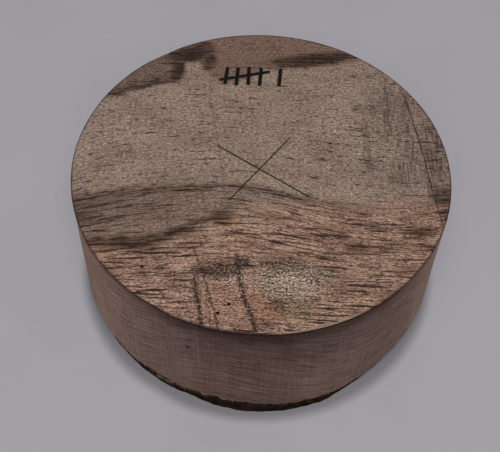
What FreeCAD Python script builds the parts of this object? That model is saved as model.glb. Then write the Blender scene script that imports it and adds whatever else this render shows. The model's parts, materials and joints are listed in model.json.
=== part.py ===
import FreeCAD, Part
import os
import Sketcher
from FreeCAD import Placement, Rotation, Vector

# A rough-sawn wood turning blank: a disc bandsawn from a slab that still has its
# bark underneath. The bark has crumbled back from the rim except at the front.
# X runs along the grain, +Z is up, and the origin is the centre of the underside.

os.makedirs("parts", exist_ok=True)
doc = FreeCAD.newDocument("turning_blank")

sheet = doc.addObject("Spreadsheet::Sheet", "Sizes")
sizes = [
    ("blankDiameter", 200),      # sawn disc, widest at its top face
    ("blankThickness", 82),      # wood and bark together
    ("sideLean", 1),             # degrees, the saw table was a little out of square
    ("arris", 0.6),              # wear along the top edge
    ("backFlatDepth", 0.9),      # how far a saw flat cuts inside the round
    ("backFlatAngle", 125),      # degrees round from +X
    ("leftFlatDepth", 0.9),
    ("leftFlatAngle", 238),
    ("rightFlatDepth", 0.5),
    ("rightFlatAngle", 317),
    ("barkThickness", 8),
    ("barkLoss", 2),             # how far the bark has crumbled back from the wood
    ("barkLean", 9),             # degrees that its broken edge leans in
    ("lobeDiameter", 140),       # whole bark, still out at the rim
    ("lobeAngle", 275),
    ("lobeSetback", 0.4),        # from the widest line of the disc
    ("lobeLean", 2),
    ("wormBore", 1.8),           # flight holes of a wood beetle, in the top face
    ("wormDepth", 9),
    ("leftWormInset", 14.3),     # from the rim
    ("leftWormAngle", 227.9),
    ("rimWormInset", 9.5),
    ("rimWormAngle", 257.8),
    ("innerWormInset", 15.4),
    ("innerWormAngle", 260.6),
]
for row, (alias, value) in enumerate(sizes, start=1):
    sheet.set("A%d" % row, alias)
    sheet.set("B%d" % row, str(value))
    sheet.setAlias("B%d" % row, alias)
doc.recompute()

woodRadius = "Sizes.blankDiameter / 2"
sideHeight = "(Sizes.blankThickness - Sizes.arris - Sizes.barkThickness)"
rimRadius = "(%s - %s * tan(Sizes.sideLean))" % (woodRadius, sideHeight)


def originPlane(body, role):
    for plane in body.Origin.OriginFeatures:
        if plane.Role == role:
            return plane


def addSketch(body, name, role):
    sketch = body.newObject("Sketcher::SketchObject", name)
    sketch.AttachmentSupport = [(originPlane(body, role), "")]
    sketch.MapMode = "FlatFace"
    return sketch


def levelSketch(body, name, height):
    sketch = addSketch(body, name, "XY_Plane")
    sketch.setExpression("AttachmentOffset.Base.z", height)
    return sketch


def bind(sketch, expression, *constraint):
    index = sketch.addConstraint(Sketcher.Constraint(*constraint))
    sketch.setExpression("Constraints[%d]" % index, expression)


def addLines(sketch, points):
    # A closed outline of straight sides, side i running from point i to the next
    corners = [Vector(x, y, 0) for x, y in points]
    for i, corner in enumerate(corners):
        sketch.addGeometry(Part.LineSegment(corner, corners[(i + 1) % len(corners)]))
    for i in range(len(corners)):
        following = (i + 1) % len(corners)
        sketch.addConstraint(Sketcher.Constraint("Coincident", i, 2, following, 1))


def addCircle(sketch, diameter, reach="0", angle="0"):
    # A bound circle whose centre lies at a reach and an angle from the middle
    index = sketch.addGeometry(Part.Circle(Vector(10, 10, 0), Vector(0, 0, 1), 1))
    bind(sketch, diameter, "Diameter", index, 2)
    if reach == "0":
        sketch.addConstraint(Sketcher.Constraint("Coincident", index, 3, -1, 1))
    else:
        bind(sketch, "(%s) * cos(%s)" % (reach, angle), "DistanceX", -1, 1, index, 3, 10)
        bind(sketch, "(%s) * sin(%s)" % (reach, angle), "DistanceY", -1, 1, index, 3, 10)


def barkPad(body, name, sketch, lean):
    # Sketched where the bark meets the wood, and leaning in towards the floor
    feature = body.newObject("PartDesign::Pad", name)
    feature.Profile = sketch
    feature.Reversed = True
    feature.setExpression("Length", "Sizes.barkThickness")
    feature.setExpression("TaperAngle", lean)


def sawnDisc(body):
    # Half the section through the axis: underside, leaning side, arris and top
    sketch = addSketch(body, "Section", "XZ_Plane")
    addLines(sketch, [(0, 8), (98.7, 8), (100, 81), (99, 82), (0, 82)])
    sketch.addConstraint(Sketcher.Constraint("Horizontal", 0))
    sketch.addConstraint(Sketcher.Constraint("Horizontal", 3))
    sketch.addConstraint(Sketcher.Constraint("PointOnObject", 0, 1, -2))
    sketch.addConstraint(Sketcher.Constraint("PointOnObject", 4, 1, -2))
    bind(sketch, "Sizes.barkThickness", "DistanceY", -1, 1, 0, 1, 8)
    bind(sketch, rimRadius, "DistanceX", -1, 1, 0, 2, 98.7)
    bind(sketch, woodRadius, "DistanceX", -1, 1, 1, 2, 100)
    bind(sketch, "Sizes.arris", "DistanceX", 2, 2, 2, 1, 0.6)
    bind(sketch, "Sizes.arris", "DistanceY", 2, 1, 2, 2, 0.6)
    bind(sketch, "Sizes.blankThickness", "DistanceY", -1, 1, 4, 1, 82)
    disc = body.newObject("PartDesign::Revolution", "SawnDisc")
    disc.Profile = sketch
    disc.ReferenceAxis = (sketch, ["V_Axis"])
    disc.Angle = 360


def sawFlat(body, place):
    # The saw ran straight for a moment and took a thin slice off the round
    sketch = addSketch(body, place + "FlatLine", "XY_Plane")
    sketch.setExpression("AttachmentOffset.Rotation.Angle", "Sizes.%sFlatAngle" % place)
    addLines(sketch, [(99, -50), (150, -50), (150, 50), (99, 50)])
    for side in (0, 2):
        sketch.addConstraint(Sketcher.Constraint("Horizontal", side))
    sketch.addConstraint(Sketcher.Constraint("Vertical", 1))
    sketch.addConstraint(Sketcher.Constraint("Symmetric", 3, 1, 3, 2, -1))
    bind(sketch, "%s - Sizes.%sFlatDepth" % (woodRadius, place), "DistanceX", -1, 1, 0, 1, 99)
    bind(sketch, woodRadius, "DistanceX", 0, 1, 0, 2, 51)
    bind(sketch, woodRadius, "DistanceY", 3, 2, 3, 1, 100)
    pocket = body.newObject("PartDesign::Pocket", place + "Flat")
    pocket.Profile = sketch
    pocket.Type = "ThroughAll"
    pocket.SideType = "Symmetric"


def barkLayer(body):
    sketch = levelSketch(body, "BarkEdge", "Sizes.barkThickness")
    addCircle(sketch, "2 * (%s - Sizes.barkLoss)" % rimRadius)
    barkPad(body, "BarkLayer", sketch, "-Sizes.barkLean")


def barkLobe(body):
    sketch = levelSketch(body, "LobeEdge", "Sizes.barkThickness")
    reach = "%s - Sizes.lobeSetback - Sizes.lobeDiameter / 2" % woodRadius
    addCircle(sketch, "Sizes.lobeDiameter", reach, "Sizes.lobeAngle")
    barkPad(body, "BarkLobe", sketch, "-Sizes.lobeLean")


def wormHoles(body, places):
    sketch = levelSketch(body, "WormPlaces", "Sizes.blankThickness")
    for place in places:
        reach = "%s - Sizes.%sWormInset" % (woodRadius, place)
        addCircle(sketch, "Sizes.wormBore", reach, "Sizes.%sWormAngle" % place)
    pocket = body.newObject("PartDesign::Pocket", "WormHoles")
    pocket.Profile = sketch
    pocket.setExpression("Length", "Sizes.wormDepth")


def checked(body):
    for item in doc.Objects:
        if "Invalid" in item.State or "Error" in item.State:
            raise SystemExit("%s failed: %s" % (item.Name, item.State))
    shape = body.Shape
    if shape.isNull() or not shape.isValid() or len(shape.Solids) != 1:
        raise SystemExit("%s isn't one valid solid" % body.Label)
    return shape


blank = doc.addObject("PartDesign::Body", "turning_blank")
blank.Label = "turning_blank"
blank.Placement = Placement(Vector(0, 0, 0), Rotation(0, 0, 0))
sawnDisc(blank)
for place in ("back", "left", "right"):
    sawFlat(blank, place)
barkLayer(blank)
barkLobe(blank)
wormHoles(blank, ["left", "rim", "inner"])
doc.recompute()

shape = checked(blank)
shape.exportStep("parts/%s.step" % blank.Label)
print("%s %.1f cm3" % (blank.Label, shape.Volume / 1000))
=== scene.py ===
import json
import math
import random
import bmesh
import bpy
import numpy as np
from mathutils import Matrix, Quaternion, Vector

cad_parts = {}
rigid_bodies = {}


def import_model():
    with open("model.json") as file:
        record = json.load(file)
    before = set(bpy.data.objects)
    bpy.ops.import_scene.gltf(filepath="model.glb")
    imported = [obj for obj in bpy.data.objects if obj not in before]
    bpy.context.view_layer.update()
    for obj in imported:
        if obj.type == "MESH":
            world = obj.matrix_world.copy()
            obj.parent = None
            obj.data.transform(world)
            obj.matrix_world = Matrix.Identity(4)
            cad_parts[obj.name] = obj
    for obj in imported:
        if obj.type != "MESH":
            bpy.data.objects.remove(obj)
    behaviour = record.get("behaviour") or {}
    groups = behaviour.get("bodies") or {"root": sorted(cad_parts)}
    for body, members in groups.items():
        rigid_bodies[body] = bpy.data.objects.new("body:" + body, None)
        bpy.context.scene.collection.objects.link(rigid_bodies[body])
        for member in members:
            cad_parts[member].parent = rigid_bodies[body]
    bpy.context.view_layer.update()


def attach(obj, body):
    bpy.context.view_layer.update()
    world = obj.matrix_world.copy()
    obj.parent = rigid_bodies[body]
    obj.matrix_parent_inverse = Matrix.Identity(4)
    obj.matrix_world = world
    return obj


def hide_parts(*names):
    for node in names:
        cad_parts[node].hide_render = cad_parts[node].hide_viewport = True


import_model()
mm = 0.001


# Helpers for modelling by operators

def deselectAll():
    if bpy.context.object and bpy.context.object.mode != "OBJECT":
        bpy.ops.object.mode_set(mode="OBJECT")
    for each in bpy.context.scene.objects:
        each.select_set(False)


def makeActive(piece):
    deselectAll()
    piece.select_set(True)
    bpy.context.view_layer.objects.active = piece


def pickInEdit(piece, kind, test):                 # edit mode, with just the wanted faces or edges selected
    makeActive(piece)
    bpy.ops.object.mode_set(mode="EDIT")
    bpy.ops.mesh.select_mode(type=kind)
    bpy.ops.mesh.select_all(action="DESELECT")
    mesh = bmesh.from_edit_mesh(piece.data)
    parts = mesh.faces if kind == "FACE" else mesh.edges
    for part in parts:
        if test(part):
            part.select_set(True)
    mesh.select_flush_mode()
    bmesh.update_edit_mesh(piece.data)


def leaveEdit():
    bpy.ops.object.mode_set(mode="OBJECT")


def rise(edge):                                    # how far an edge climbs
    return abs(edge.verts[0].co.z - edge.verts[1].co.z)


def finishPlace(piece):                            # place goes into the mesh, as the nodes have it
    makeActive(piece)
    bpy.ops.object.transform_apply(location=True, rotation=True, scale=True)


def readPoints(piece):
    points = np.empty(len(piece.data.vertices) * 3)
    piece.data.vertices.foreach_get("co", points)
    return points.reshape(-1, 3)


def writePoints(piece, points):
    piece.data.vertices.foreach_set("co", points.ravel())
    piece.data.update()


def spanOf(points):                                # distance of each point from the middle line
    return np.hypot(points[:, 0], points[:, 1])


def smoothPiece(piece, degrees):
    makeActive(piece)
    bpy.ops.object.shade_smooth_by_angle(angle=math.radians(degrees))


def roundWave(angles, seed, waves):                # gentle uneven wave round the rim, made of a few sines
    dice = random.Random(seed)
    total = np.zeros_like(angles)
    for count, size in waves:
        total = total + size * np.sin(count * angles + dice.uniform(0, 6.28))
    return total


def displace(piece, name, depth, middle, direction, group, grainSize, detail):   # cloudy relief in the mesh
    holder = bpy.data.objects.new(name + "Place", None)
    bpy.context.scene.collection.objects.link(holder)
    holder.scale = grainSize
    texture = bpy.data.textures.new(name, "CLOUDS")
    texture.noise_scale = 1.0
    texture.noise_depth = detail
    step = piece.modifiers.new(name, "DISPLACE")
    step.texture = texture
    step.texture_coords = "OBJECT"
    step.texture_coords_object = holder
    step.strength = depth
    step.mid_level = middle
    step.direction = direction
    step.vertex_group = group
    bpy.context.view_layer.update()
    makeActive(piece)
    bpy.ops.object.modifier_apply(modifier=step.name)
    bpy.data.objects.remove(holder)


def groupBy(piece, name, weights):
    group = piece.vertex_groups.new(name=name)
    levels = np.round(weights, 2)
    for level in np.unique(levels):
        if level > 0:
            group.add([int(i) for i in np.nonzero(levels == level)[0]], float(level), "REPLACE")


# The wooden disc

disc = {
    "columns": 720,
    "rows": 72,
    "topSpan": 180,
    "topRadius": 99.85 * mm,
    "lowRadius": 98.55 * mm,
    "topHeight": 81.95 * mm,
    "lowHeight": 8 * mm,
    "arrisDrop": 0.6 * mm,
    "arrisIn": 0.6 * mm,
    "outOfRound": 0.10 * mm,
    "flats": [(125, 99.1 * mm), (238, 99.1 * mm), (317, 99.5 * mm)],
    "flatLean": 0.9872,                            # share of a flat's reach that is left at its foot
    # height of the ragged wood edge above the paper, in millimetres, by the angle round the disc
    "edgeAngles": [-180, -160, -145, -133, -120, -112, -105, -97, -90, -80,
                   -70, -63, -57, -47, -30, 0, 60, 120, 180],
    "edgeHeights": [9, 8.6, 8.5, 8.6, 8.2, 9.2, 10.0, 8.8, 7.1, 5.2,
                    4.6, 4.8, 7.2, 9.0, 9.4, 9, 8.4, 9.1, 9],
    "smoothAngle": 38,
    "raggedFine": 0.35,
    "raggedCoarse": 0.35,
    # beetle holes: x, y, bore and depth, in millimetres
    "wormHoles": [(-57.45, -63.59, 1.8, 9), (-19.13, -88.46, 1.8, 9), (-13.82, -83.46, 1.8, 9)],
    # where the sawn face and the wall begin, for the relief
    "faceFrom": 81.7 * mm,
    "wallFrom": 95.5 * mm,
    # relief: name, depth, middle level, direction, where, size of a grain along each axis, detail
    "relief": [("sawRidges", 0.22 * mm, 1.0, "Z", "top", (1.8 * mm, 40 * mm, 20 * mm), 2),
               ("topFibres", 0.22 * mm, 1.0, "Z", "top", (6 * mm, 1.2 * mm, 10 * mm), 1),
               ("bandSaw", 0.30 * mm, 0.85, "NORMAL", "wall", (1.3 * mm, 1.3 * mm, 50 * mm), 1),
               ("wallRough", 0.22 * mm, 0.9, "NORMAL", "wall", (2 * mm, 2 * mm, 1.2 * mm), 2)],
}


def edgeHeight(degrees):                           # in millimetres
    plain = np.interp(degrees, disc["edgeAngles"], disc["edgeHeights"])
    turn = np.radians(degrees)
    coarse = roundWave(turn, 3, [(31, 1), (47, 0.8), (64, 0.7), (83, 0.6)]) * disc["raggedCoarse"] * 0.5
    fine = roundWave(turn, 4, [(140, 1), (187, 1), (231, 0.8), (288, 0.7)]) * disc["raggedFine"] * 0.5
    furry = np.interp(degrees, [-180, -140, -125, -85, -70, 180], [0.4, 0.6, 1, 0.8, 0.35, 0.35])
    return plain + (coarse + fine) * furry


def makeDisc():
    wallTop = disc["topHeight"] - disc["arrisDrop"]
    nearly = 0.1 * mm
    deselectAll()
    bpy.ops.mesh.primitive_cone_add(
        vertices=disc["columns"], radius1=disc["lowRadius"], radius2=disc["topRadius"],
        depth=wallTop - disc["lowHeight"], end_fill_type="NOTHING",
        location=(0, 0, (wallTop + disc["lowHeight"]) / 2))
    piece = bpy.context.object
    piece.name = "blank_wood"
    finishPlace(piece)
    # rows down the wall
    pickInEdit(piece, "EDGE", lambda e: rise(e) > 10 * mm)
    bpy.ops.mesh.subdivide(number_cuts=disc["rows"] - 1)
    leaveEdit()
    # worn arris, in two turns, then the sawn face
    pickInEdit(piece, "EDGE", lambda e: e.is_boundary and e.verts[0].co.z > wallTop - nearly)
    kneeRadius = disc["topRadius"] - disc["arrisIn"] * 0.3
    firstIn = kneeRadius / disc["topRadius"]
    secondIn = (disc["topRadius"] - disc["arrisIn"]) / kneeRadius
    bpy.ops.mesh.extrude_region_move(TRANSFORM_OT_translate={"value": (0, 0, disc["arrisDrop"] * 0.65)})
    bpy.ops.transform.resize(value=(firstIn, firstIn, 1), center_override=(0, 0, 0))
    bpy.ops.mesh.extrude_region_move(TRANSFORM_OT_translate={"value": (0, 0, disc["arrisDrop"] * 0.35)})
    bpy.ops.transform.resize(value=(secondIn, secondIn, 1), center_override=(0, 0, 0))
    bpy.ops.mesh.fill_grid(span=disc["topSpan"])
    leaveEdit()
    # underside, which rests on the bark
    pickInEdit(piece, "EDGE", lambda e: e.is_boundary and e.verts[0].co.z < disc["lowHeight"] + nearly)
    for inward in (0.985, 0.98, 0.6):
        bpy.ops.mesh.extrude_region_move(TRANSFORM_OT_translate={"value": (0, 0, 0)})
        bpy.ops.transform.resize(value=(inward, inward, 1), center_override=(0, 0, 0))
    bpy.ops.mesh.edge_face_add()
    bpy.ops.mesh.select_all(action="SELECT")
    bpy.ops.mesh.normals_make_consistent(inside=False)
    leaveEdit()
    return piece


def shapeDisc(piece):                              # out of round, saw flats and the ragged lower edge
    p = readPoints(piece)
    turn = np.arctan2(p[:, 1], p[:, 0])
    degrees = np.degrees(turn)
    span = spanOf(p)
    atWall = span > disc["lowRadius"] - 3 * mm
    wave = disc["outOfRound"] * (roundWave(turn, 7, [(3, 0.5), (5, 0.4), (9, 0.3), (17, 0.2)]) - 1)
    grow = 1 + np.where(atWall, wave, wave * span / disc["lowRadius"]) / np.maximum(span, 50 * mm)
    p[:, 0] *= grow
    p[:, 1] *= grow
    for angle, reach in disc["flats"]:
        across = np.array([math.cos(math.radians(angle)), math.sin(math.radians(angle))])
        limit = reach * np.interp(p[:, 2], [disc["lowHeight"], 82 * mm], [disc["flatLean"], 1.0])
        over = np.maximum(p[:, :2] @ across - limit, 0)
        p[:, :2] -= over[:, None] * across
    low, high = disc["lowHeight"], disc["topHeight"] - disc["arrisDrop"]
    share = np.clip((high - p[:, 2]) / (high - low), 0, 1)
    drop = edgeHeight(degrees) * mm - low
    drop = np.where(span > disc["lowRadius"] * 0.97, drop, np.maximum(drop, 0))
    # the wall takes up the ragged line towards its foot, the very edge most
    p[:, 2] += drop * np.interp(share, [0, 0.55, 1], [0, 0.35, 1])
    writePoints(piece, p)


def drillDisc(piece):
    deselectAll()
    cutters = []
    for x, y, bore, depth in disc["wormHoles"]:
        bpy.ops.mesh.primitive_cylinder_add(vertices=20, radius=bore / 2 * mm, depth=2 * depth * mm,
                                            location=(x * mm, y * mm, disc["topHeight"]))
        cutter = bpy.context.object
        finishPlace(cutter)
        cutters.append(cutter)
    for cutter in cutters:
        step = piece.modifiers.new("wormHole", "BOOLEAN")
        step.operation = "DIFFERENCE"
        step.solver = "FAST"
        step.object = cutter
        makeActive(piece)
        bpy.ops.object.modifier_apply(modifier=step.name)
        bpy.data.objects.remove(cutter)


wood = makeDisc()
shapeDisc(wood)
woodPoints = readPoints(wood)
abovePart = woodPoints[:, 2] - disc["faceFrom"]
outerPart = np.clip((spanOf(woodPoints) - disc["wallFrom"]) / (1.5 * mm), 0, 1)
groupBy(wood, "top", np.clip(abovePart / (0.2 * mm), 0, 1))
groupBy(wood, "wall", outerPart * np.clip(-abovePart / (2 * mm), 0, 1))
for row in disc["relief"]:
    displace(wood, *row)
drillDisc(wood)
smoothPiece(wood, disc["smoothAngle"])
print("disc:", len(wood.data.polygons), "faces")


# The bark left underneath

bark = {
    "columns": 420,
    "rows": 10,
    "upperRadius": 95.4 * mm,
    "lowerRadius": 94.0 * mm,
    "height": 8.6 * mm,
    "underWood": 97.2 * mm,                        # farthest reach where it meets the wood
    "atPaper": 99.7 * mm,                          # farthest reach lower down
    "outermost": 99.75 * mm,
    "tuckHeights": (3.6 * mm, 7 * mm),
    "smoothAngle": 50,
    "relief": ("barkLumps", 1.4 * mm, 0.85, "NORMAL", "edge", (4 * mm, 4 * mm, 2.5 * mm), 3),
    # how far the bark reaches at the paper, in millimetres, by the angle round the disc
    "reachAngles": [-180, -167, -150, -136, -119, -110, -102, -94, -87, -81, -75,
                    -69, -61, -54, -40, -26, -16, 0, 60, 120, 180],
    "reaches": [95.5, 96.8, 96.4, 96.7, 97.2, 97.0, 98.6, 99.5, 99.7, 99.7, 99.4,
                99.2, 97.2, 96.1, 95.4, 95.3, 95.9, 95.5, 94.6, 94.8, 95.5],
}


def makeBark():
    deselectAll()
    bpy.ops.mesh.primitive_cone_add(
        vertices=bark["columns"], radius1=bark["lowerRadius"], radius2=bark["upperRadius"],
        depth=bark["height"], end_fill_type="NOTHING", location=(0, 0, bark["height"] / 2))
    piece = bpy.context.object
    piece.name = "blank_bark"
    finishPlace(piece)
    pickInEdit(piece, "EDGE", lambda e: rise(e) > 4 * mm)
    bpy.ops.mesh.subdivide(number_cuts=bark["rows"] - 1)
    leaveEdit()
    for atTop in (True, False):
        pickInEdit(piece, "EDGE", lambda e: e.is_boundary and (e.verts[0].co.z > 4 * mm) == atTop)
        for inward in (0.985, 0.97, 0.96, 0.95, 0.9, 0.8):
            bpy.ops.mesh.extrude_region_move(TRANSFORM_OT_translate={"value": (0, 0, 0)})
            bpy.ops.transform.resize(value=(inward, inward, 1), center_override=(0, 0, 0))
        bpy.ops.mesh.edge_face_add()
        leaveEdit()
    pickInEdit(piece, "FACE", lambda f: True)
    bpy.ops.mesh.normals_make_consistent(inside=False)
    leaveEdit()
    return piece


def shapeBark(piece):
    p = readPoints(piece)
    turn = np.arctan2(p[:, 1], p[:, 0])
    span = spanOf(p)
    share = span / np.interp(p[:, 2], [0, bark["height"]], [bark["lowerRadius"], bark["upperRadius"]])
    reach = np.interp(np.degrees(turn), bark["reachAngles"], bark["reaches"]) * mm
    # the bark tucks in under the wood, so that it never stands out of the disc's wall
    reach = np.minimum(reach, np.interp(p[:, 2], bark["tuckHeights"], [bark["atPaper"], bark["underWood"]]))
    reach = reach + roundWave(turn, 12, [(7, 0.2), (13, 0.3), (29, 0.5), (53, 0.5), (97, 0.4)]) * 0.2 * mm
    reach = np.minimum(reach, bark["outermost"])
    p[:, :2] *= (reach * share / np.maximum(span, 0.001 * mm))[:, None]
    writePoints(piece, p)


barkPiece = makeBark()
shapeBark(barkPiece)
barkPoints = readPoints(barkPiece)
outerPart = np.clip((spanOf(barkPoints) - 80 * mm) / (8 * mm), 0, 1)
groupBy(barkPiece, "edge", outerPart * np.clip(barkPoints[:, 2] / (0.6 * mm), 0, 1))
displace(barkPiece, *bark["relief"])
smoothPiece(barkPiece, bark["smoothAngle"])
print("bark:", len(barkPiece.data.polygons), "faces")


# Torn fibres along the ragged edge

fringe = {
    "count": 520,
    "fromAngle": -136,
    "toAngle": -66,
    "thickness": 0.085 * mm,
    "shortest": 0.5 * mm,
    "longest": 2.6 * mm,
    "tip": 0.15,                                   # thickness left at the tip of a splinter
    "bend": 2.2,                                   # in thicknesses, at the tip
    "smoothAngle": 60,
    "seed": 21,
    "rootRadius": 98.35 * mm,
    "rootLift": 0.25 * mm,
    "outermost": 99.8 * mm,
    "lowest": 0.4 * mm,
    "inTufts": 0.55,                               # share of the splinters that stand in a tuft
    # angle, spread and extra length of the thicker tufts
    "tufts": [(-133, 2, 1.0), (-121, 2.2, 1.8), (-117.5, 1.6, 1.6), (-112, 2, 1.0), (-105.5, 1.5, 1.7),
              (-98, 2, 0.9)],
}


def makeFibre():                                   # one splinter, a bent four-sided needle
    deselectAll()
    bpy.ops.mesh.primitive_cone_add(vertices=4, radius1=1, radius2=fringe["tip"], depth=1,
                                    location=(0, 0, 0.5))
    piece = bpy.context.object
    finishPlace(piece)
    pickInEdit(piece, "EDGE", lambda e: rise(e) > 0.5)
    bpy.ops.mesh.subdivide(number_cuts=2)
    leaveEdit()
    p = readPoints(piece)
    p[:, 0] += fringe["bend"] * p[:, 2] ** 2
    writePoints(piece, p)
    return piece


def makeFringe():
    dice = random.Random(fringe["seed"])
    model = makeFibre()
    base = readPoints(model)
    copies = []
    for _ in range(fringe["count"]):
        extra = 0.0
        if dice.random() < fringe["inTufts"]:
            centre, spread, extra = dice.choice(fringe["tufts"])
            angle = dice.gauss(centre, spread * 0.6)
        else:
            angle = dice.uniform(fringe["fromAngle"], fringe["toAngle"])
        angle = min(max(angle, fringe["fromAngle"]), fringe["toAngle"])
        turn = math.radians(angle)
        out = Vector((math.cos(turn), math.sin(turn), 0))
        side = Vector((-math.sin(turn), math.cos(turn), 0))
        way = out * dice.uniform(0.1, 0.75) + side * dice.gauss(0, 0.7)
        way.z += dice.uniform(-1.0, 0.05)
        way.normalize()
        long = dice.uniform(fringe["shortest"], fringe["longest"]) * (0.5 + 0.45 * extra)
        thick = fringe["thickness"] * dice.uniform(0.7, 1.3)
        turned = way.to_track_quat("Z", "X") @ Quaternion((0, 0, 1), dice.uniform(0, 6.28))
        spin = np.array(turned.to_matrix())
        start = fringe["rootRadius"] * np.array(out)
        start[2] = float(edgeHeight(np.array(angle))) * mm + fringe["rootLift"]
        points = (base * np.array((thick, thick, long))) @ spin.T + start
        points[:, :2] *= np.minimum(1, fringe["outermost"] / spanOf(points))[:, None]
        points[:, 2] = np.maximum(points[:, 2], fringe["lowest"])
        copy = model.copy()
        copy.data = model.data.copy()
        bpy.context.scene.collection.objects.link(copy)
        writePoints(copy, points)
        copies.append(copy)
    makeActive(model)
    for copy in copies[1:]:
        copy.select_set(True)
    copies[0].select_set(True)
    bpy.context.view_layer.objects.active = copies[0]
    model.select_set(False)
    bpy.ops.object.join()
    bpy.data.objects.remove(model)
    piece = bpy.context.object
    piece.name = "torn_fibres"
    return piece


fibres = makeFringe()
smoothPiece(fibres, fringe["smoothAngle"])
print("fibres:", len(fibres.data.polygons), "faces")


# Shader maths: a socket that is worked with like a number

class Val:
    tree = None

    def __init__(self, socket):
        self.socket = socket

    @classmethod
    def node(cls, kind, settings=None, sockets=None, out=0):
        made = cls.tree.nodes.new(kind)
        for key, value in (settings or {}).items():
            if key == "points":
                curve = made.mapping.curves[0]
                while len(curve.points) < len(value):
                    curve.points.new(0.5, 0.5)
                for point, place in zip(curve.points, value):
                    point.location = place
                    point.handle_type = "AUTO_CLAMPED"
                made.mapping.update()
            else:
                setattr(made, key, value)
        for key, value in (sockets or {}).items():
            if isinstance(value, Val):
                cls.tree.links.new(value.socket, made.inputs[key])
            else:
                made.inputs[key].default_value = value
        return cls(made.outputs[out]) if made.outputs else None

    def maths(self, work, other=0.0, clamp=False):
        return Val.node("ShaderNodeMath", {"operation": work, "use_clamp": clamp}, {0: self, 1: other})

    def __add__(self, other):
        return self.maths("ADD", other)

    __radd__ = __add__

    def __mul__(self, other):
        return self.maths("MULTIPLY", other)

    __rmul__ = __mul__

    def __sub__(self, other):
        return self.maths("SUBTRACT", other)

    def __rsub__(self, other):
        return Val.node("ShaderNodeMath", {"operation": "SUBTRACT"}, {0: other, 1: self})

    def __truediv__(self, other):
        return self.maths("DIVIDE", other)

    def __abs__(self):
        return self.maths("ABSOLUTE")


def paint(red, green, blue):                       # a colour as a paint program gives it
    def plain(part):
        part = part / 255
        return part / 12.92 if part <= 0.04045 else ((part + 0.055) / 1.055) ** 2.4
    return (plain(red), plain(green), plain(blue), 1.0)


def ease(value, start, end, low=0.0, high=1.0):    # smooth step from start to end
    return Val.node("ShaderNodeMapRange", {"interpolation_type": "SMOOTHSTEP"},
                    {"Value": value, "From Min": start, "From Max": end, "To Min": low, "To Max": high})


def blendIn(under, over, share):
    return Val.node("ShaderNodeMix", {"data_type": "RGBA", "clamp_factor": True},
                    {0: share, 6: under, 7: over}, out=2)


def darken(colour, tint, share):
    return Val.node("ShaderNodeMix", {"data_type": "RGBA", "blend_type": "MULTIPLY", "clamp_factor": True},
                    {0: share, 6: colour, 7: tint}, out=2)


def brighten(colour, tone):                        # a tone below 1 makes it darker
    return Val.node("ShaderNodeVectorMath", {"operation": "SCALE"}, {0: colour, "Scale": tone})


def startMaterial(name):
    material = bpy.data.materials.new(name)
    material.use_nodes = True
    Val.tree = material.node_tree
    Val.tree.nodes.clear()
    return material


def millimetres():                                 # object coordinates in millimetres
    place = Val.node("ShaderNodeTexCoord", out=3)
    return Val.node("ShaderNodeVectorMath", {"operation": "SCALE"}, {0: place, "Scale": 1000.0})


def noise(where, grainSize, detail=2.0, rough=0.5, shift=(0, 0, 0)):
    # grainSize is the size of one blotch in millimetres along each axis
    moved = Val.node("ShaderNodeMapping", {"vector_type": "POINT"},
                     {"Vector": where, "Location": shift, "Scale": tuple(1 / size for size in grainSize)})
    return Val.node("ShaderNodeTexNoise", {"noise_dimensions": "3D"},
                    {"Vector": moved, "Scale": 1.0, "Detail": detail, "Roughness": rough})


def curveOf(value, points, reach=100.0):           # a drawn line: for each value along, a place across
    share = (value + reach) / (2 * reach)
    places = [((a + reach) / (2 * reach), (b + reach) / (2 * reach)) for a, b in points]
    made = Val.node("ShaderNodeFloatCurve", {"points": places}, {"Factor": 1.0, "Value": share})
    return made * (2 * reach) - reach


def finishMaterial(material, colour, rough, height, depth, specular):
    bump = Val.node("ShaderNodeBump", None, {"Strength": 1.0, "Distance": depth, "Height": height})
    shader = Val.node("ShaderNodeBsdfPrincipled", None,
                      {"Base Color": colour, "Roughness": rough, "Normal": bump,
                       "Specular IOR Level": specular})
    Val.node("ShaderNodeOutputMaterial", None, {"Surface": shader})
    return material


# The wood

woodLook = {
    "field": paint(141, 122, 109),
    "fieldDull": paint(126, 107, 96),
    "pore": paint(56, 44, 38),
    "redBrown": paint(168, 136, 117),
    "redDull": paint(140, 108, 92),
    "redDark": paint(62, 42, 33),
    "middle": paint(124, 104, 92),
    "backDark": paint(108, 89, 80),
    "backEdge": paint(50, 37, 31),
    "backWarm": paint(114, 91, 80),
    "stain": paint(42, 32, 27),
    "soak": paint(172, 157, 149),
    "mould": paint(36, 31, 28),
    "pink": paint(152, 118, 101),
    "orange": paint(146, 102, 80),
    "chalk": paint(168, 154, 138),
    "olive": paint(136, 117, 90),
    "wallBrown": paint(133, 110, 100),
    "wallDark": paint(106, 88, 83),
    "ink": paint(14, 14, 15),
    "pencil": paint(26, 32, 28),
    "cream": paint(170, 148, 126),
    "gritDepth": 3.0,                              # how strongly the finest noise shows
    "darkest": 0.3,                                # the least that the grain leaves of a colour
    "wallRadius": 98.9,                            # in millimetres, for the marks in the wall
    "ringTurn": 1.25,                              # growth rings, in radians for each millimetre up
    "ringFineTurn": 3.7,
    "bumpDepth": 0.0005,
    "shine": 0.08,
}


def spot(where, x, y, wide, high, soft=0.6):       # soft oval mark on the sawn face
    moved = Val.node("ShaderNodeVectorMath", {"operation": "MULTIPLY_ADD"},
                     {0: where, 1: (1 / wide, 1 / high, 0), 2: (-x / wide, -y / high, 0)})
    far = Val.node("ShaderNodeVectorMath", {"operation": "LENGTH"}, {0: moved}, out=1)
    return ease(far, 1.0 + soft, 1.0 - soft)


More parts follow.
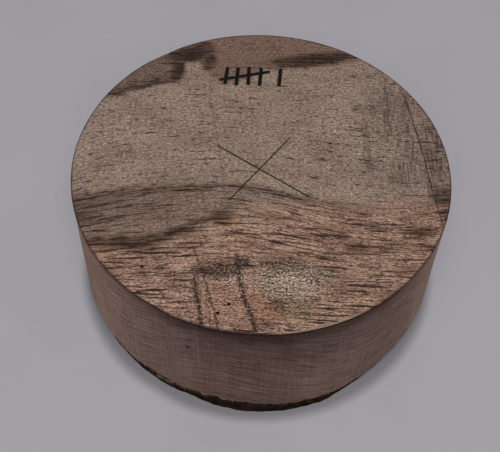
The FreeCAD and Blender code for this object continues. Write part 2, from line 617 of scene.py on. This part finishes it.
def penStroke(where, start, end, half, soft):
    run = (end[0] - start[0], end[1] - start[1], 0)
    length = run[0] ** 2 + run[1] ** 2
    away = Val.node("ShaderNodeVectorMath", {"operation": "SUBTRACT"}, {0: where, 1: (*start, 0)})
    along = Val.node("ShaderNodeVectorMath", {"operation": "DOT_PRODUCT"},
                     {0: away, 1: (run[0] / length, run[1] / length, 0)}, out=1)
    along = along.maths("ADD", 0.0, clamp=True)
    back = Val.node("ShaderNodeVectorMath", {"operation": "SCALE"}, {0: run, "Scale": along})
    off = Val.node("ShaderNodeVectorMath", {"operation": "SUBTRACT"}, {0: away, 1: back})
    far = Val.node("ShaderNodeVectorMath", {"operation": "LENGTH"}, {0: off}, out=1)
    return ease(far, half + soft, half - soft)


def strongest(marks):
    total = marks[0]
    for mark in marks[1:]:
        total = total.maths("MAXIMUM", mark)
    return total


def spots(where, rows):                            # rows as spot takes them, and a strength where it isn't 1
    return strongest([spot(where, *row[:5]) * row[5] if len(row) > 5 else spot(where, *row) for row in rows])


def ragged(mask, n, low=0.34, high=0.66):          # breaks a soft mask up along the fibres
    return ease(mask + n["broken"], low, high)


def soak(colour, mask, n, strength=1.0):           # a stain, darkest where the fibres took it up
    colour = darken(colour, woodLook["soak"], mask * strength * n["mottle"])
    return blendIn(colour, woodLook["stain"], ragged(mask * 0.60, n, 0.42, 0.76) * (0.95 * strength))


def splitPlace(place):
    parts = Val.tree.nodes.new("ShaderNodeSeparateXYZ")
    Val.tree.links.new(place.socket, parts.inputs[0])
    return Val(parts.outputs[0]), Val(parts.outputs[1]), Val(parts.outputs[2])


def topNoises(flat, x, y):                         # the noises that the sawn face's colours and bump share
    # the grain runs along x and bends over a low hill in the front half
    hill = curveOf(x, [(-100, -14), (-84, -9), (-64, -5), (-44, -2), (-17, 0), (8, -3), (24, -7), (48, -11),
                       (70, -12), (100, -10)])
    bent = y - hill * ease(y, 45, 0) * ease(y, -78, -38, 0.15, 1.0)
    flow = Val.node("ShaderNodeCombineXYZ", None, {0: x, 1: bent})
    n = {
        "grit": noise(flow, (1.6, 0.72, 1), 1, 0.8),
        "dash": noise(flow, (4.4, 0.75, 1), 2, 0.65, (3, 9, 0)),
        "fibre": noise(flow, (13, 0.6, 1), 3, 0.6, (3, 5, 0)),
        "figure": (noise(flow, (30, 4.5, 1), 2, 0.5, (8, 6, 0)) * 42).maths("SINE"),
        "fibreLong": noise(flow, (22, 1.45, 1), 3, 0.6, (13, 2, 0)),
        "blotch": noise(flow, (30, 14, 1), 3, 0.6),
        "speck": noise(flat, (1.1, 0.95, 1), 2, 0.65, (31, 7, 0)),
        "wander": (noise(flat, (12, 6, 1), 4, 0.7, (9, 1, 0)) - 0.5) * 26,
        "upright": noise(flat, (1.1, 9, 1), 2, 0.6, (4, 4, 0)),
    }
    n["mottle"] = ease(n["grit"] * 0.5 + n["dash"] * 0.5, 0.38, 0.60, 0.25, 1.25)
    n["frayed"] = (n["fibreLong"] - 0.5) * 15
    n["broken"] = (n["grit"] - 0.5) * 0.8 + (n["dash"] - 0.5) * 1.6 + (n["fibreLong"] - 0.5) * 3.0
    return n


def topGround(x, y, n):                            # pale field, reddish front, dark back and the long bands
    look = woodLook
    colour = blendIn(look["fieldDull"], look["field"], ease(n["blotch"], 0.34, 0.66))
    colour = blendIn(colour, look["pore"], ease(n["dash"], 0.53, 0.66) * 0.75)
    colour = blendIn(colour, look["pore"], ease(n["fibre"], 0.56, 0.66) * 0.4)

    lowerLine = curveOf(x, [(-100, -42), (-60, -50), (-30, -38), (-10, -24), (20, -22), (60, -26),
                            (84, -20), (100, -18)])
    lower = ease(y + n["wander"] * 0.4 + n["frayed"] - lowerLine, ease(x, 0, 50, 4, 12), -7)
    red = blendIn(look["redBrown"], look["redDull"], ease(n["blotch"], 0.42, 0.64))
    red = blendIn(red, look["redDull"], ease(n["fibreLong"], 0.50, 0.62))
    colour = blendIn(colour, red, lower * 0.92)

    # dark zone at the back, with its paler tongue
    backLine = curveOf(x, [(-100, 47), (-87, 48), (-80, 49), (-75, 52), (-67, 54), (-62, 57), (-55, 59),
                           (-49, 61), (-46, 66), (-44.5, 76), (-39, 77), (-33, 71), (-26, 63), (-22, 61),
                           (-12, 63), (-7, 66), (3, 77), (13, 76), (28, 77), (39, 81), (48, 84), (60, 88),
                           (100, 96)])
    inBack = y + n["wander"] * 0.26 + n["frayed"] * 0.35 - backLine
    back = ease(inBack, -1.6, 1.6)
    leftShare = ease(x, -32, -46)
    backTone = blendIn(look["backWarm"], look["backDark"], leftShare)
    backTone = blendIn(backTone, look["backEdge"], ease(n["dash"], 0.48, 0.66) * (leftShare * 0.45 + 0.35))
    backTone = blendIn(backTone, look["backEdge"], ease(n["fibre"], 0.50, 0.66) * 0.45)
    leftEdge = ease(inBack, 10, 0.5) * ease(n["blotch"], 0.34, 0.54, 0.5, 1.0) * leftShare
    backTone = soak(backTone, leftEdge, n)
    colour = blendIn(colour, backTone, back)
    # smudges: x, y, half length, half height, softness, strength
    smudges = [(28, 75.8, 25, 5.2, 0.6, 1.35), (12, 77, 9, 2.6, 0.7, 1.35), (-43, 89.5, 12, 5.5, 0.6, 1.35),
               (-36, 93, 7, 5, 0.6, 1.35), (-31, 83, 4, 6, 0.7, 1.08), (-48, 77, 3.5, 8, 0.7, 1.35)]
    colour = soak(colour, spots(n["tilted"], smudges), n)

    # first dark band across the middle
    firstLine = curveOf(x, [(-100, -25), (-84, -21), (-64, -17), (-44, -14), (-24, -12), (-10, -12),
                            (8, -15), (24, -19), (48, -23), (68, -24), (100, -20)])
    off = y + n["wander"] * 0.24 + n["frayed"] * 0.5 - firstLine
    first = ease(abs(off), ease(x, -20, -70, 4.0, 6.6), 0.0) * ease(x, 80, 5)
    first = first * ease(n["blotch"], 0.22, 0.46, 0.72, 1.0)
    colour = soak(colour, first, n)
    below = ease(off, -1, -4) * ease(off, -26, -14) * ease(x, -20, -70)
    middle = ease(off, -1, -5) * ease(x, 40, -30) * (1 - lower)
    colour = blendIn(colour, look["middle"], middle * ease(n["fibreLong"], 0.40, 0.56, 0.4, 0.95))
    # fine dark grain lines, all over the red part and fainter above it
    streaky = lower.maths("MAXIMUM", middle * 0.7)
    ripple = ease(n["figure"], 0.72, 0.96) * ease(n["fibre"], 0.42, 0.52)
    colour = blendIn(colour, look["redDark"], streaky * ease(n["fibre"], 0.55, 0.61) * 0.75)
    colour = blendIn(colour, look["stain"], streaky * ripple * 0.85)
    colour = blendIn(colour, look["stain"], streaky * ease(n["dash"], 0.55, 0.63) * ease(x, 0, 50, 0.5, 1.0))
    colour = blendIn(colour, look["stain"], streaky * ease(n["fibreLong"], 0.56, 0.62) * 0.85)
    colour = soak(colour, below * 0.45 + below * ease(x, -76, -96) * 0.55, n, 0.85)

    # strong stain that rises from the left rim
    stainLine = curveOf(x, [(-100, -49), (-87, -50), (-70, -50), (-56, -49.5), (-47, -46), (-42, -41),
                            (-34, -37.5), (-26, -34), (-19, -31.5), (-8, -30.5), (8, -31), (40, -34),
                            (100, -36)])
    stainWidth = curveOf(x, [(-100, 2.6), (-80, 4.2), (-60, 4.6), (-48, 3.8), (-40, 3), (-30, 2),
                             (-22, 3), (-15, 2.6), (-8, 0.9), (10, 0.8), (24, 0.5), (100, 0)])
    off = abs(y + n["wander"] * 0.5 + n["frayed"] - stainLine)
    stain = ease(off - stainWidth, 3.2, -3.0) * ease(n["blotch"], 0.26, 0.46, 0.5, 1.0)
    return soak(colour, stain, n), streaky


def topMarks(flat, n, colour):
    # loose dark streaks: x, y, half length, half height
    streaks = [(8, -41.5, 24, 0.9), (-2, -35, 12, 0.8), (72, -58.5, 8, 0.7), (58, -64, 4, 0.7),
               (53, -68, 18, 0.8), (56, -71, 12, 0.7), (38, -84, 22, 0.6), (34, -88, 18, 0.6),
               (76, -44, 9, 0.9), (84, -45, 8, 0.7), (20, -52, 16, 0.7), (-66, -59, 12, 0.9),
               (66, -50, 12, 0.7), (40, -52, 20, 0.8), (30, -60, 22, 0.7), (66, -62, 14, 0.6),
               (24, -37, 18, 0.8), (60, -33, 16, 1.0), (-50, -55, 14, 0.9), (12, -46, 14, 0.6),
               (84, -14, 14, 0.8), (60, -79, 10, 0.6), (-72, -43, 14, 0.9)]
    total = strongest([spot(flat, x, y, wide, high * 0.6, 0.7) for x, y, wide, high in streaks])
    colour = blendIn(colour, woodLook["stain"], ragged(total * 0.75, n, 0.36, 0.66) * 0.85)
    patches = [(49, -48, 6, 3.2), (42, -41, 4, 2), (81, -37, 7, 3), (87, -47, 3, 1.6),
               (-19, -31, 5, 4.2, 0.7), (-41, -42, 7, 3), (-62, -51, 7, 2.6), (-70, -47.5, 5, 2.4)]
    return soak(colour, spots(flat, patches), n, 0.9)


def topRight(flat, x, y, n, colour):               # grey, cross-hatched part and the dark rim at the right
    look = woodLook
    area = ease(x + n["wander"], 46, 68) * ease(y + n["wander"], -16, 2)
    lines = ease(n["upright"] * 0.6 + n["dash"] * 0.4, 0.46, 0.58) * 0.33
    lines = lines + ease(n["fibre"], 0.50, 0.60) * 0.24
    colour = blendIn(colour, look["mould"], area * lines)
    # upright strips: x with its outer and inner half width, y with its outer and inner half length, strength
    rows = [(56, 2.6, 0.8, 20, 20, 12, 1), (68, 3.2, 0.8, 43, 24, 14, 1), (79, 4.0, 1.0, 28, 34, 22, 0.8),
            (74, 9.0, 3.0, 2, 14, 6, 0.7), (92, 7.0, 3.0, 8, 34, 16, 1)]
    strips = strongest([ease(abs(x - midX), outX, inX) * ease(abs(y - midY), outY, inY, 0, strength)
                        for midX, outX, inX, midY, outY, inY, strength in rows])
    colour = blendIn(colour, look["mould"], strips * ease(n["upright"] + n["grit"] * 0.5, 0.66, 0.84) * 0.5)
    knots = spots(flat, [(53, 45, 4.5, 3.2, 0.7), (60, 43, 2.5, 3), (57, 7, 4, 5)])
    knots = knots * ease(n["dash"] * 0.6 + n["grit"] * 0.4, 0.44, 0.56)
    colour = blendIn(colour, look["mould"], knots * 0.75)
    rim = spots(flat, [(95, -14, 7, 7), (96, -25, 6, 3), (93, 26, 7, 24, 0.8, 0.35)])
    return soak(colour, rim, n, 0.9)


def topSawLines(x, y, n, colour):
    look = woodLook
    longLine = curveOf(y, [(-100, 95), (-32, 93), (-20, 91), (-8, 89), (8, 87), (20, 85), (31, 83), (47, 80),
                           (57, 78), (100, 70)])
    thin = ease(abs(x - longLine), 0.65, 0.15) * ease(y, 60, 54) * ease(y, -46, -34)
    thin = thin * ease(n["grit"], 0.34, 0.48) * ease(n["upright"], 0.34, 0.50, 0.5, 0.95)
    colour = blendIn(colour, look["mould"], thin)
    # points of the line, its lower and upper end, half width, strength
    sawLines = [([(-100, -26), (-93, -27), (-72, -31), (100, -60)], -99, -68, 1.3, 0.95),
                ([(-100, -18.5), (-95, -19), (-84, -22), (-71, -26), (-56, -31), (-44, -35), (100, -60)],
                 -99, -50, 0.45, 0.8),
                ([(-100, -1), (-97, -1), (-93, -2), (-81, -6), (-69, -9), (-55, -11), (100, -30)],
                 -100, -54, 1.6, 0.98),
                ([(-100, -15), (-16, -19), (56, -30), (100, -36)], -16, 56, 0.3, 0.3)]
    for points, lowY, highY, half, strength in sawLines:
        off = abs(x + n["wander"] * min(half, 0.8) * 0.1 - curveOf(y, points))
        line = ease(off, half + 0.7, half * 0.3) * ease(n["speck"], 0.38, 0.50)
        line = line * ease(y, lowY - 2, lowY + 2) * ease(y, highY + 3, highY - 3)
        colour = blendIn(colour, look["mould"], line * strength)
    return colour


def topFront(flat, x, y, n, colour):               # pink wood, chalky mould and black specks
    look = woodLook
    pink = spots(flat, [(-16, -82, 15, 14, 0.5), (-10, -72, 12, 8, 0.5)])
    colour = blendIn(colour, look["pink"], pink * ease(n["blotch"] + n["grit"] * 0.5, 0.5, 0.8) * 0.8)
    orange = spots(flat, [(4, -88, 7, 5), (-3, -79, 4, 3, 0.7)])
    colour = blendIn(colour, look["orange"], orange * ease(n["speck"], 0.36, 0.56) * 0.8)
    colour = blendIn(colour, look["olive"], spot(flat, 19, -85, 8, 6, 0.7) * 0.55)
    chalk = spots(flat, [(16, -68, 17, 10, 0.55), (-14, -69, 9, 3, 0.6, 0.7)])
    colour = blendIn(colour, look["chalk"], chalk * ease(n["speck"], 0.56, 0.42) * 0.8)
    colour = blendIn(colour, look["mould"], chalk * ease(n["speck"], 0.55, 0.62) * 0.8)
    mould = spots(flat, [(-20, -64, 10, 5, 0.5, 1.15), (-7, -58.5, 4, 4.5, 0.6, 0.8),
                         (12, -60, 14, 4, 0.6, 0.7), (10, -84, 5, 4, 0.6, 0.8)])
    colour = darken(colour, paint(208, 204, 198), mould)
    specks = ease(n["speck"] * 0.65 + n["dash"] * 0.35 + mould * 0.03, 0.51, 0.55)
    colour = blendIn(colour, look["mould"], mould * specks * 0.95)
    area = ease(y, -50, -62) * ease(abs(x + 10), 60, 34)
    clump = ease(n["blotch"], 0.36, 0.58)
    network = n["speck"] * 0.55 + n["dash"] * 0.45 + clump * 0.03 + n["wander"] * 0.012
    colour = blendIn(colour, look["mould"], area * ease(network, 0.545, 0.61) * 0.9)
    return colour


def topRim(flat, x, y, n, colour):                 # the very edge: dark, but cream where it is fresh
    look = woodLook
    far = Val.node("ShaderNodeVectorMath", {"operation": "LENGTH"}, {0: flat}, out=1)
    rim = ease(far + n["wander"] * 0.06, 98.6, 99.2)
    colour = blendIn(colour, look["stain"], rim * ease(n["grit"], 0.30, 0.50) * 0.75)
    fresh = ease(far + n["wander"] * 0.08, 98.7, 99.1) * ease(y, -82, -90) * ease(x, 4, 16)
    return blendIn(colour, look["cream"], fresh * 0.5)


def topPen(flat, n, colour):                       # centre cross in thin pen, and the tally in marker
    look = woodLook
    cross = strongest([penStroke(flat, (-23, 15), (25.5, -17.2), 0.48, 0.25),
                       penStroke(flat, (14.4, 22), (-16, -20.4), 0.42, 0.25),
                       penStroke(flat, (25.5, -17.2), (29.5, -18.0), 0.25, 0.2)])      # where the pen ran on
    colour = blendIn(colour, look["pencil"], cross * ease(n["grit"], 0.72, 0.45, 0.85, 1.0))
    strokes = [((-21.5, 61), (-20.6, 72.6)), ((-15.2, 60.4), (-14.6, 72.4)), ((-8.6, 61), (-8.4, 73)),
               ((-2.2, 60.6), (-1.6, 72.8)), ((-24, 63.6), (2.6, 70.4)), ((8.6, 60.8), (9.4, 72.6))]
    tally = strongest([penStroke(flat, start, end, 1.1, 0.2) for start, end in strokes])
    return blendIn(colour, look["ink"], tally * ease(n["fibre"], 0.80, 0.60, 0.85, 1.0))


def wallPaint(place, x, y, z):
    look = woodLook
    turn = y.maths("ARCTAN2", x)
    # growth rings: long flat hills across the front, with a little wander
    hill = ease(abs(x + 17), 75, 0) * 26
    rings = z - hill + y * 0.12 + (noise(place, (70, 70, 30), 2, 0.5, (5, 0, 0)) - 0.5) * 9
    ringTone = (rings * look["ringTurn"]).maths("SINE") * 0.5 + 0.5
    ringFine = (rings * look["ringFineTurn"]).maths("SINE") * 0.5 + 0.5
    sawNoise = noise(place, (0.8, 0.8, 70), 3, 0.7, (2, 2, 0))
    rough = noise(place, (1.0, 1.0, 0.7), 3, 0.7, (8, 3, 0))
    along = Val.node("ShaderNodeCombineXYZ", None, {0: x, 1: y, 2: rings})
    wallFibre = noise(along, (15, 15, 0.55), 2, 0.6, (3, 1, 0))
    blotch = noise(place, (22, 22, 12), 3, 0.55, (1, 9, 4))
    upper = ease(z + (blotch - 0.5) * 40, 34, 66) * ease(abs(turn + 1.45), 0.85, 0.25)
    colour = blendIn(look["wallBrown"], look["wallDark"], upper * 0.85)
    colour = darken(colour, paint(214, 200, 194), ease(ringTone, 0.45, 1.0) * ease(blotch, 0.34, 0.64) * 0.5)
    colour = darken(colour, paint(214, 200, 196), ease(ringFine, 0.5, 1.0) * ease(blotch, 0.62, 0.40) * 0.4)
    tone = 1 + (sawNoise - 0.5) * 1.1 + (rough - 0.5) * 1.7 + (wallFibre - 0.5) * 2.4
    colour = brighten(colour, tone.maths("MAXIMUM", look["darkest"]))
    # darker towards the sawn face round the front; painted shade across the front of the wall, and painted
    # light that makes both sides paler
    front = ease(abs(turn + 1.5), 1.0, 0.5)
    colour = darken(colour, paint(190, 180, 176), ease(z + (blotch - 0.5) * 12, 66, 79) * front)
    # painted shade: the front of the wall made darker by its angle round the disc
    colour = darken(colour, paint(200, 190, 188), ease(abs(turn + 1.6), 0.40, 0.15) * 0.5)
    # painted light: both sides of the wall made paler by their angle round the disc
    paintedSideLight = ease(turn, -2.05, -2.75) + ease(turn, -0.80, -0.40)
    colour = brighten(colour, paintedSideLight * 0.8 + 1)
    colour = darken(colour, paint(120, 98, 90), ease(z + (rough - 0.5) * 3, 78.6, 80.8) * 0.75)
    # pinholes and a small knot in the wall: angle, height, radius
    for angle, height, reach in [(-80.5, 28, 0.9), (-80.7, 23.5, 0.8), (-110, 56, 1.6)]:
        way = math.radians(angle)
        at = (look["wallRadius"] * math.cos(way), look["wallRadius"] * math.sin(way), height)
        far = Val.node("ShaderNodeVectorMath", {"operation": "DISTANCE"}, {0: place, 1: at}, out=1)
        colour = blendIn(colour, look["redDark"], ease(far, reach + 0.4, reach * 0.4) * 0.85)
    return colour, sawNoise * 0.5 + rough * 0.6


def makeWoodMaterial():
    look = woodLook
    material = startMaterial("sawn spalted wood")
    place = millimetres()
    x, y, z = splitPlace(place)
    flat = Val.node("ShaderNodeCombineXYZ", None, {0: x, 1: y})
    n = topNoises(flat, x, y)
    n["tilted"] = Val.node("ShaderNodeCombineXYZ", None, {0: x, 1: y - x * 0.17})
    colour, streaky = topGround(x, y, n)
    colour = topMarks(flat, n, colour)
    colour = topRight(flat, x, y, n, colour)
    colour = topFront(flat, x, y, n, colour)
    colour = topSawLines(x, y, n, colour)
    tone = 1 + (n["grit"] - 0.5) * look["gritDepth"] + (n["dash"] - 0.5) * (streaky * 1.6 + 0.9)
    tone = tone + (n["fibre"] - 0.5) * (streaky * 2.0 + 1.3)
    colour = brighten(colour, tone.maths("MAXIMUM", look["darkest"]))
    colour = topRim(flat, x, y, n, colour)
    colour = topPen(flat, n, colour)
    wallColour, wallHeight = wallPaint(place, x, y, z)
    onTop = ease(z, 81.3, 81.5)
    height = onTop * (n["grit"] * 0.5 + n["fibre"] * 0.5) + (1 - onTop) * wallHeight
    rough = ease(n["blotch"], 0.2, 0.8, 0.78, 0.9)
    colour = blendIn(wallColour, colour, onTop)
    return finishMaterial(material, colour, rough, height, look["bumpDepth"], look["shine"])


wood.data.materials.clear()
wood.data.materials.append(makeWoodMaterial())


barkLook = {
    "deep": paint(24, 17, 13),
    "plain": paint(52, 37, 29),
    "plate": paint(84, 64, 51),
    "flake": paint(88, 66, 52),
    "smoothest": 0.85,
    "roughest": 0.95,
    "bumpDepth": 0.0012,
    "shine": 0.06,
}


def makeBarkMaterial():
    material = startMaterial("old dark bark")
    place = millimetres()
    lump = noise(place, (3.2, 3.2, 2.2), 4, 0.65)
    flake = noise(place, (0.9, 0.9, 0.7), 3, 0.7, (5, 5, 5))
    plate = noise(place, (12, 12, 5), 3, 0.6, (2, 7, 1))
    colour = blendIn(barkLook["deep"], barkLook["plain"], ease(lump, 0.40, 0.66))
    colour = blendIn(colour, barkLook["plate"], ease(plate, 0.48, 0.62) * ease(lump, 0.40, 0.60) * 0.22)
    colour = blendIn(colour, barkLook["flake"], ease(flake, 0.60, 0.74) * 0.3)
    rough = ease(lump, 0.3, 0.7, barkLook["smoothest"], barkLook["roughest"])
    height = lump * 0.7 + flake * 0.4
    return finishMaterial(material, colour, rough, height, barkLook["bumpDepth"], barkLook["shine"])


barkPiece.data.materials.clear()
barkPiece.data.materials.append(makeBarkMaterial())


fibreLook = {
    "dull": paint(96, 76, 64),
    "fresh": paint(158, 134, 114),
    "bumpDepth": 0.0002,
    "shine": 0.2,
}


def makeFibreMaterial():
    material = startMaterial("torn wood fibre")
    place = millimetres()
    tone = noise(place, (2.0, 2.0, 2.0), 2, 0.5)
    colour = blendIn(fibreLook["dull"], fibreLook["fresh"], ease(tone, 0.42, 0.66))
    rough = ease(tone, 0.3, 0.7, 0.75, 0.9)
    return finishMaterial(material, colour, rough, tone, fibreLook["bumpDepth"], fibreLook["shine"])


fibres.data.materials.clear()
fibres.data.materials.append(makeFibreMaterial())
print("materials done")


# Riding and replacing

for piece in (wood, barkPiece, fibres):
    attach(piece, "root")
    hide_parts("turning_blank")


# Paper, light and camera

stageLook = {
    "paperSize": 12,
    "paper": paint(155, 153, 158),
    "paperDark": paint(153, 151, 156),
    "paperTooth": 0.0002,
    "paperShine": 0.1,
    "skyColour": (1, 0.985, 0.97, 1),
    "skyStrength": 0.16,
    "skyShown": paint(182, 180, 183),              # what the camera sees past the paper
    "lampPower": 33.0,
    "lampSize": 1.35,
    "lampPlace": (0.0, -1.275, 2.15),
    "lampAim": (0.0, 0.0, 0.05),
    "topPower": 1.6,
    "topSpread": 5.0,                              # in degrees
    "topLean": 3.6,
    "cameraPlace": (-0.00499, -0.36187, 0.53399),
    "cameraAim": (-0.00499, -0.03687, 0.082),
    "cameraRoll": 0.032655,
    "lens": 79.2,
}


def makePaper():
    deselectAll()
    bpy.ops.mesh.primitive_plane_add(size=stageLook["paperSize"], location=(0, 0, 0))
    piece = bpy.context.object
    piece.name = "paper_floor"
    material = startMaterial("white paper")
    place = millimetres()
    cloud = noise(place, (90, 90, 90), 3, 0.55)
    tooth = noise(place, (2, 2, 2), 3, 0.6)
    colour = blendIn(stageLook["paperDark"], stageLook["paper"], ease(cloud, 0.35, 0.6))
    rough = ease(cloud, 0.3, 0.7, 0.88, 0.92)
    finishMaterial(material, colour, rough, tooth, stageLook["paperTooth"], stageLook["paperShine"])
    piece.data.materials.append(material)


makePaper()
world = bpy.data.worlds.new("soft room")
bpy.context.scene.world = world
world.use_nodes = True
Val.tree = world.node_tree
Val.tree.nodes.clear()
rays = Val.tree.nodes.new("ShaderNodeLightPath")
seen = Val(rays.outputs["Is Camera Ray"]).maths("MAXIMUM", Val(rays.outputs["Is Glossy Ray"]))
lit = Val.node("ShaderNodeBackground", None,
               {"Color": stageLook["skyColour"], "Strength": stageLook["skyStrength"]})
shown = Val.node("ShaderNodeBackground", None, {"Color": stageLook["skyShown"], "Strength": 1.0})
both = Val.node("ShaderNodeMixShader", None, {0: seen, 1: lit, 2: shown})
Val.node("ShaderNodeOutputWorld", None, {"Surface": both})

lampData = bpy.data.lights.new("softBox", "AREA")
lampData.shape = "SQUARE"
lampData.size = stageLook["lampSize"]
lampData.energy = stageLook["lampPower"]
lamp = bpy.data.objects.new("softBox", lampData)
bpy.context.scene.collection.objects.link(lamp)
lamp.location = stageLook["lampPlace"]
lamp.rotation_mode = "QUATERNION"
lamp.rotation_quaternion = (Vector(stageLook["lampAim"]) - lamp.location).to_track_quat("-Z", "Y")

# a tight light from above, leaning in from behind, for the dark line where the blank meets the paper
topData = bpy.data.lights.new("topLight", "SUN")
topData.energy = stageLook["topPower"]
topData.angle = math.radians(stageLook["topSpread"])
topLight = bpy.data.objects.new("topLight", topData)
bpy.context.scene.collection.objects.link(topLight)
topLight.location = (0, 0, 1)
topLight.rotation_euler = (-math.radians(stageLook["topLean"]), 0, 0)

cameraData = bpy.data.cameras.new("photoCamera")
cameraData.lens = stageLook["lens"]
cameraData.sensor_width = 36
camera = bpy.data.objects.new("photoCamera", cameraData)
bpy.context.scene.collection.objects.link(camera)
camera.location = stageLook["cameraPlace"]
camera.rotation_mode = "QUATERNION"
aim = (Vector(stageLook["cameraAim"]) - Vector(stageLook["cameraPlace"])).to_track_quat("-Z", "Y")
camera.rotation_quaternion = aim @ Quaternion((0, 0, 1), stageLook["cameraRoll"])
cameraData.clip_start = 0.02
cameraData.clip_end = 40
bpy.context.scene.camera = camera
bpy.context.scene.view_settings.view_transform = "Standard"
print("stage, light and camera done")
